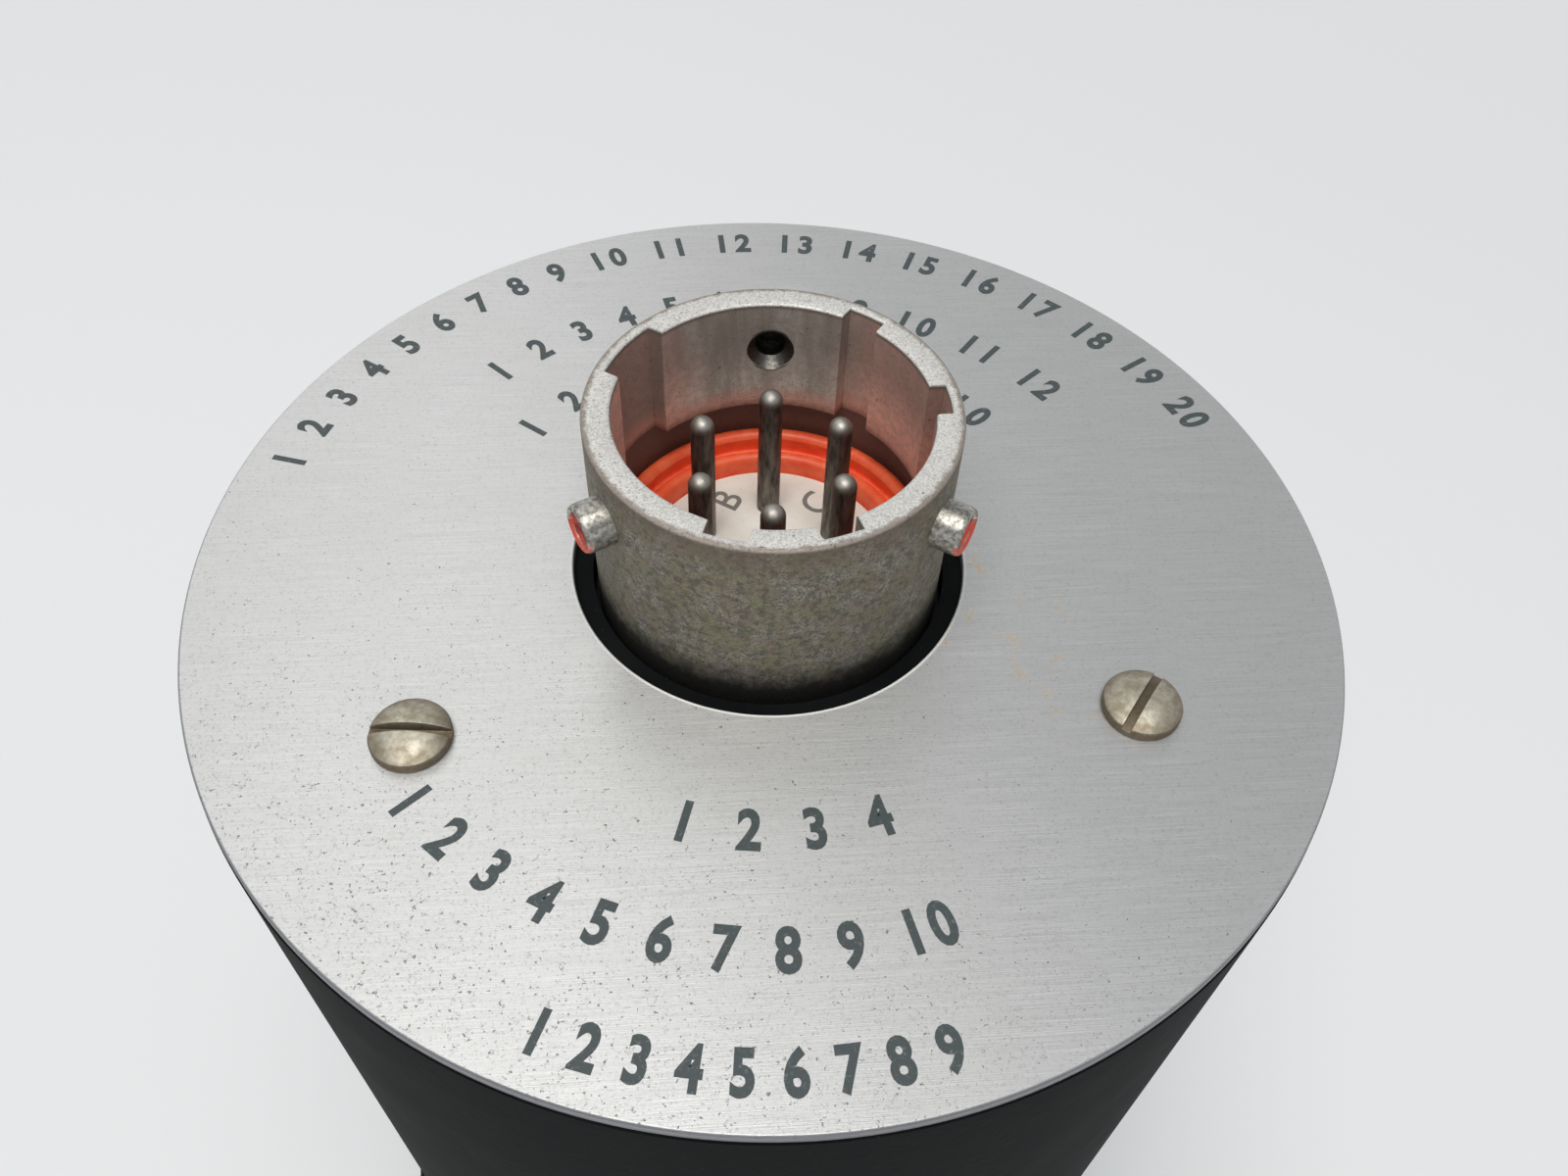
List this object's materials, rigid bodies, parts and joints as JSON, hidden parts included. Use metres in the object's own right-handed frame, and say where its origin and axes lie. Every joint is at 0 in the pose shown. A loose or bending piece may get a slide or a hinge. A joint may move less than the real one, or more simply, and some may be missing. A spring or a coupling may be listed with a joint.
{
  "type": "panel indicator",
  "caption": "Round panel instrument with a glazed pointer dial, a tubular black case, a bright rear plate and a keyed bayonet socket on its back.",
  "frame": {"origin": "centre of the bezel's front face, which the instrument stands on", "axes": "+Z along the instrument's axis, from the bezel to the rear connector; -Y is the lower side of the dial and of the rear plate"},
  "size_m": [0.0572, 0.0572, 0.0876],
  "materials": {
    "case_paint": "satin black enamel, scuffed",
    "bezel_paint": "matt black enamel",
    "bright_plate": "brushed, with dark pitting",
    "rear_screw": "plated, dirty",
    "glass": "clear",
    "black_rubber": "matt",
    "spring_steel": "black oxide",
    "dial_paint": "dead matt black",
    "white_paint": "matt white paint",
    "pointer_paint": "matt white paint",
    "brass": "turned",
    "frame_aluminium": "machined",
    "small_screw": "plain",
    "synchro_shell": "satin",
    "lamination": "stacked sheet edges",
    "copper_winding": "varnished wire",
    "shaft_steel": "ground",
    "bearing_steel": "polished",
    "contact_alloy": "worn plating",
    "insulation": "brown laminate",
    "wire_insulation": "extruded",
    "connector_plating": "dull grey plating, speckled",
    "insert_white": "off-white moulding",
    "red_silicone": "moulded silicone",
    "bayonet_steel": "worn",
    "red_paint": "paint"
  },
  "bodies": {
    "housing": {"bezel": "bezel_paint", "window_snap_ring": "spring_steel", "window_glass": "glass", "glass_gasket": "black_rubber", "case_gasket": "black_rubber", "case": "case_paint", "rear_plate": "bright_plate", "rear_screws": "rear_screw", "dial": "dial_paint", "dial_marks": "white_paint", "dial_screws": "small_screw", "dial_spacers": "frame_aluminium", "frame_plate": "frame_aluminium", "frame_screws": "small_screw", "support_posts": "frame_aluminium", "synchro_housing": "synchro_shell", "synchro_end_cap": "synchro_shell", "synchro_clamps": "frame_aluminium", "clamp_screws": "small_screw", "stator_core": "lamination", "stator_windings": "copper_winding", "brush_block": "insulation", "brushes": "contact_alloy", "front_bearing_outer_race": "bearing_steel", "rear_bearing_outer_race": "bearing_steel", "terminal_board": "insulation", "terminals": "contact_alloy", "hookup_wires": "wire_insulation", "connector_shell": "connector_plating", "connector_insert": "insert_white", "connector_seal": "red_silicone", "contact_pins": "contact_alloy", "bayonet_pins": "bayonet_steel", "bayonet_pin_fill": "red_paint", "connector_gasket": "black_rubber", "flange_screws": "small_screw", "flange_nuts": "small_screw"},
    "rotor": {"pointer": "pointer_paint", "pointer_hub": "brass", "pointer_cap": "dial_paint", "rotor_shaft": "shaft_steel", "rotor_core": "lamination", "rotor_winding": "copper_winding", "slip_ring_sleeve": "insulation", "slip_rings": "contact_alloy", "front_bearing_inner_race": "bearing_steel", "rear_bearing_inner_race": "bearing_steel"},
    "front_ball_ring": {"front_bearing_balls": "bearing_steel", "front_bearing_cage": "brass"},
    "rear_ball_ring": {"rear_bearing_balls": "bearing_steel", "rear_bearing_cage": "brass"}
  },
  "joints": [
    {"name": "pointer_turn", "type": "hinge", "parent": "housing", "child": "rotor", "pos_m": [0, 0, 0.0071], "axis": [0, 0, 1], "range_deg": [0, 270]},
    {"name": "front_balls_orbit", "type": "hinge", "parent": "housing", "child": "front_ball_ring", "pos_m": [0, 0, 0.0174], "axis": [0, 0, 1], "range_deg": [0, 101.3]},
    {"name": "rear_balls_orbit", "type": "hinge", "parent": "housing", "child": "rear_ball_ring", "pos_m": [0, 0, 0.053], "axis": [0, 0, 1], "range_deg": [0, 101.3]}
  ],
  "couplings": [
    {"joint": "front_balls_orbit", "follows": "pointer_turn", "ratio": 0.375},
    {"joint": "rear_balls_orbit", "follows": "pointer_turn", "ratio": 0.375}
  ]
}
